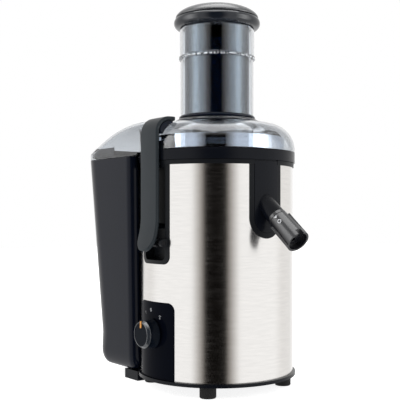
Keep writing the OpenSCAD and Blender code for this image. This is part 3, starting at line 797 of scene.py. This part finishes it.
def knob():
    """The turned knob and its rim; the rim's colour is painted lighter than the knob's, a painted
    highlight, and the rim also takes the lamps' highlights, so it is returned.
    """
    place = Matrix.Translation(at(0, 0, KNOB_Z)) @ Matrix.Rotation(math.radians(90), 4, "X")
    side = [(3.1, 94.2), (16.9, 94.2), (17.1, 95.2), (15.8, 98), (15.1, 101.5), (15.3, 104)]
    face = [(15.5, 105.2), (13, 108.4), (13, KNOB_FACE), (0, KNOB_FACE), (0, 106), (3.1, 106)]
    obj = new_object("knob_body", lathe(side + face, place, 128), MATERIAL["knob"], "knob",
                     ["speed_knob"])
    cut(obj, [pointer_slot(1.3, 111, 108.5, 7.9)])
    auto_smooth(obj, 35)
    edge = rounded([(13.1, 108), (15.5, 105.2), (16.1, 106.2), (13.9, 109.8), (13.1, 109.8)], 0.35, 3)
    rim = new_object("knob_rim", lathe(edge, place, 128), MATERIAL["knob_rim"], "knob")
    cut(rim, [pointer_slot(1.7, 111, 105.5, 9.6)])
    auto_smooth(rim, 35)
    return rim


def ribbon(name, points, width, surface, body, closed=False):
    """A printed line: a thin strip through 2-D points, laid on a surface by a function."""
    bm = bmesh.new()
    count = len(points)
    pairs = []
    for i, p in enumerate(points):
        before = Vector(points[i - 1] if closed or i else p)
        after = Vector(points[(i + 1) % count] if closed or i + 1 < count else p)
        along = (after - before).normalized()
        out = Vector((-along.y, along.x)) * width / 2
        pairs.append([bm.verts.new(surface(p[0] + out.x, p[1] + out.y)),
                      bm.verts.new(surface(p[0] - out.x, p[1] - out.y))])
    spans = count if closed else count - 1
    for i in range(spans):
        a, b = pairs[i], pairs[(i + 1) % count]
        bm.faces.new((a[0], b[0], b[1], a[1]))
    obj = new_object(name, bm, MATERIAL["mark"], body)
    modifier(obj, "SOLIDIFY", thickness=0.06 * MM, offset=0)
    return obj


def on_panel(x, z):
    """A point on the panel: x round it and z up it."""
    turn = x / PANEL_R
    return at(PANEL_R * math.sin(turn), -PANEL_R * math.cos(turn), z)


def panel_marks():
    """The dial's 1, 0 and 2, round the top of the knob."""
    turns = [2 * math.pi * i / 20 for i in range(20)]
    zero = [(-4.5 + 1.15 * math.cos(t), 95.6 + 1.7 * math.sin(t)) for t in turns]
    ribbon("mark_zero", zero, 0.65, on_panel, "base", closed=True)
    one = [(-18.6, 92.4), (-17.7, 93.3), (-17.7, 90.1)]
    ribbon("mark_one", one, 0.65, on_panel, "base")
    two = arc((12.6, 89.2), 1.1, 165, -25, 8) + [(11.5, 86.7), (13.9, 86.7)]
    ribbon("mark_two", two, 0.6, on_panel, "base")


SPOUT_TURN = math.radians(38)  # how far the spout points down
SPOUT_START = (93, 0, 215)
SPOUT_OUT = Vector((math.cos(SPOUT_TURN), 0, -math.sin(SPOUT_TURN)))
MARK_SIDE = Vector((0.28, -0.87, 0.41)).normalized()


def on_spout(u, t):
    """A point on the sleeve: u round it and t along it."""
    radius = 11.47 + 1.5 * (t - 25.2) / 34.8
    side = (MARK_SIDE - SPOUT_OUT * MARK_SIDE.dot(SPOUT_OUT)).normalized()
    turn = u / radius
    out = side * math.cos(turn) + SPOUT_OUT.cross(side) * math.sin(turn)
    return at(*(Vector(SPOUT_START) + SPOUT_OUT * t + out * radius))


def spout_marks():
    """An arrowhead at the start of the sleeve and a drop beside it."""
    bm = bmesh.new()
    bm.faces.new([bm.verts.new(on_spout(u, t)) for u, t in ((-2.1, 25.6), (2.1, 25.6), (0, 29.4))])
    arrow = new_object("mark_arrow", bm, MATERIAL["mark"], "spout_sleeve")
    modifier(arrow, "SOLIDIFY", thickness=0.1 * MM, offset=0)
    turns = [math.pi * i / 12 for i in range(24)]
    drop = [(1.9 * math.cos(t), 35.2 + 2.2 * math.sin(t)) for t in turns]
    return [arrow, ribbon("mark_drop", drop, 0.8, on_spout, "spout_sleeve", closed=True)]


# ---- camera, light and floor ----------------------------------------------------------------


LENS, SENSOR = 72, 36
SHIFT = 17 / 400  # share of the picture's width
CAMERA_BACK, CAMERA_UP = 0.976, 0.2025  # metres from the axis and above the floor
DARK_GAP = math.radians(92)  # puts the studio's dark gap a little beside the camera
# Brightness round the studio, by degrees from the middle of the dark gap.
STUDIO = ((0, 0.002), (15.5, 0.002), (17.5, 0.16), (26, 0.55), (36, 1.0), (98, 1.0), (114, 0.85),
          (144, 0.85), (160, 1.0))
# Height, as a sine, over which the studio's walls turn into its white ceiling.
CEILING = (math.sin(math.radians(42)), math.sin(math.radians(58)))
# Glow of each tall strip, by degrees from the camera.
TUBE_STRIPS = ((40, 0.6), (48, 1.1), (56, 1.6), (64, 2.7), (72, 3.4), (80, 2.5), (88, 1.2), (96, 0.5))
TUBE_STRIP_COLOR = (0.68, 0.82, 0.93)
GLOSS_STRIPS = ((56, 0.8), (64, 1.8), (72, 2.8), (80, 2.8), (88, 1.6), (96, 0.6))
STRIP_REACH, STRIP_HEIGHT, STRIP_UP = 1.3, 1.6, 0.45  # metres
STRIP_HALF_TURN = math.radians(4.05)  # half a strip's width, seen from the axis
OVERHEAD_UP, OVERHEAD_SIZE, OVERHEAD_GLOW = 1.9, 1.6, 3.0
FLOOR_HALF = 4  # metres


def toward_camera(turn):
    return Vector((math.sin(turn), -math.cos(turn), 0))


def camera():
    data = bpy.data.cameras.new("camera")
    data.lens = LENS
    data.sensor_width = SENSOR
    data.shift_x = -SHIFT
    data.shift_y = SHIFT
    cam = bpy.data.objects.new("camera", data)
    bpy.context.scene.collection.objects.link(cam)
    cam.location = AXIS + toward_camera(CAMERA_TURN) * CAMERA_BACK + Vector((0, 0, CAMERA_UP))
    cam.rotation_euler = (math.radians(90), 0, CAMERA_TURN)
    bpy.context.scene.camera = cam


def studio_walls(n, direction):
    """The brightness round the studio as a ramp over the angle from the dark gap."""
    angle = n.calculate("ARCTAN2", direction["Y"], direction["X"])
    ramp = n.add("ShaderNodeValToRGB")
    n.feed(n.calculate("DIVIDE", n.calculate("ABSOLUTE", angle), math.pi), ramp.inputs[0])
    elements = ramp.color_ramp.elements
    while len(elements) < len(STUDIO):
        elements.new(0.5)
    for element, (degrees, value) in zip(elements, STUDIO):
        element.position = degrees / 180
        element.color = (value, value ** 1.06, value ** 1.12, 1)
    return ramp.outputs["Color"]


def world():
    """A white studio with a dark gap by the camera and dimmer flanks behind the object."""
    studio = bpy.data.worlds.new("studio")
    bpy.context.scene.world = studio
    studio.use_nodes = True
    n = Tree(studio.node_tree)
    turned = n.add("ShaderNodeVectorRotate", rotation_type="Z_AXIS")
    turned.inputs["Angle"].default_value = DARK_GAP - CAMERA_TURN
    n.feed(n.add("ShaderNodeTexCoord").outputs["Generated"], turned.inputs["Vector"])
    split = n.add("ShaderNodeSeparateXYZ")
    n.feed(turned.outputs[0], split.inputs[0])
    ceiling = n.between(split.outputs["Z"], 0, 1, CEILING)
    room = n.mixed(ceiling, studio_walls(n, split.outputs), WHITE)
    backdrop = n.add("ShaderNodeLightPath").outputs["Is Camera Ray"]
    n.feed(n.mixed(backdrop, room, WHITE), n.tree.nodes["Background"].inputs["Color"])


def floor():
    n = Nodes("pale_floor")
    n.set(Base_Color=(0.96, 0.96, 0.96), Roughness=0.9, Emission_Color=WHITE, Emission_Strength=0.85)
    half = FLOOR_HALF
    corners = ((-half, -half, 0), (half, -half, 0), (half, half, 0), (-half, half, 0))
    mesh = bpy.data.meshes.new("floor")
    mesh.from_pydata(corners, [], [(0, 1, 2, 3)])
    mesh.materials.append(n.material)
    obj = bpy.data.objects.new("floor", mesh)
    bpy.context.scene.collection.objects.link(obj)
    obj.visible_glossy = False


def area_light(receivers, place, rotation, size, glow, color=WHITE):
    """A soft panel of that glow, seen only in the receivers."""
    data = bpy.data.lights.new("panel", "AREA")
    data.shape = "RECTANGLE"
    data.size, data.size_y = size
    data.energy = glow * math.pi * data.size * data.size_y
    data.color = color
    lamp = bpy.data.objects.new("panel", data)
    bpy.context.scene.collection.objects.link(lamp)
    lamp.location = place
    lamp.rotation_euler = rotation
    lamp.light_linking.receiver_collection = receivers


def strip_lights(name, objects, glows, color=WHITE):
    """Tall soft strips on both sides of the camera, which light only the objects."""
    receivers = bpy.data.collections.new(name)
    for obj in objects:
        receivers.objects.link(obj)
    size = (2 * STRIP_REACH * math.tan(STRIP_HALF_TURN), STRIP_HEIGHT)
    for side in (-1, 1):
        for degrees, glow in glows:
            turn = CAMERA_TURN + math.radians(side * degrees)
            place = AXIS + toward_camera(turn) * STRIP_REACH + Vector((0, 0, STRIP_UP))
            area_light(receivers, place, (math.radians(90), 0, turn), size, glow, color)
    return receivers


def lights(tube_pieces, glossy_pieces):
    strip_lights("tall", tube_pieces, TUBE_STRIPS, TUBE_STRIP_COLOR)
    receivers = strip_lights("shiny", glossy_pieces, GLOSS_STRIPS)
    overhead = AXIS + Vector((0, 0, OVERHEAD_UP))
    area_light(receivers, overhead, (0, 0, 0), (OVERHEAD_SIZE, OVERHEAD_SIZE), OVERHEAD_GLOW)


bpy.context.scene.view_settings.view_transform = "Standard"
paint_cad_nodes()
collar, tube = feed_tube()
tall = [pusher(), tube]
shiny = cap() + lid() + spout_marks() + [knob(), collar, frame["nodes"]["spout_sleeve"]]
lid_catches()
container()
latch("front_latch", "front_latch", -1)
latch("rear_latch", "rear_latch", 1)
panel_marks()
camera()
world()
lights(tall, shiny)
floor()
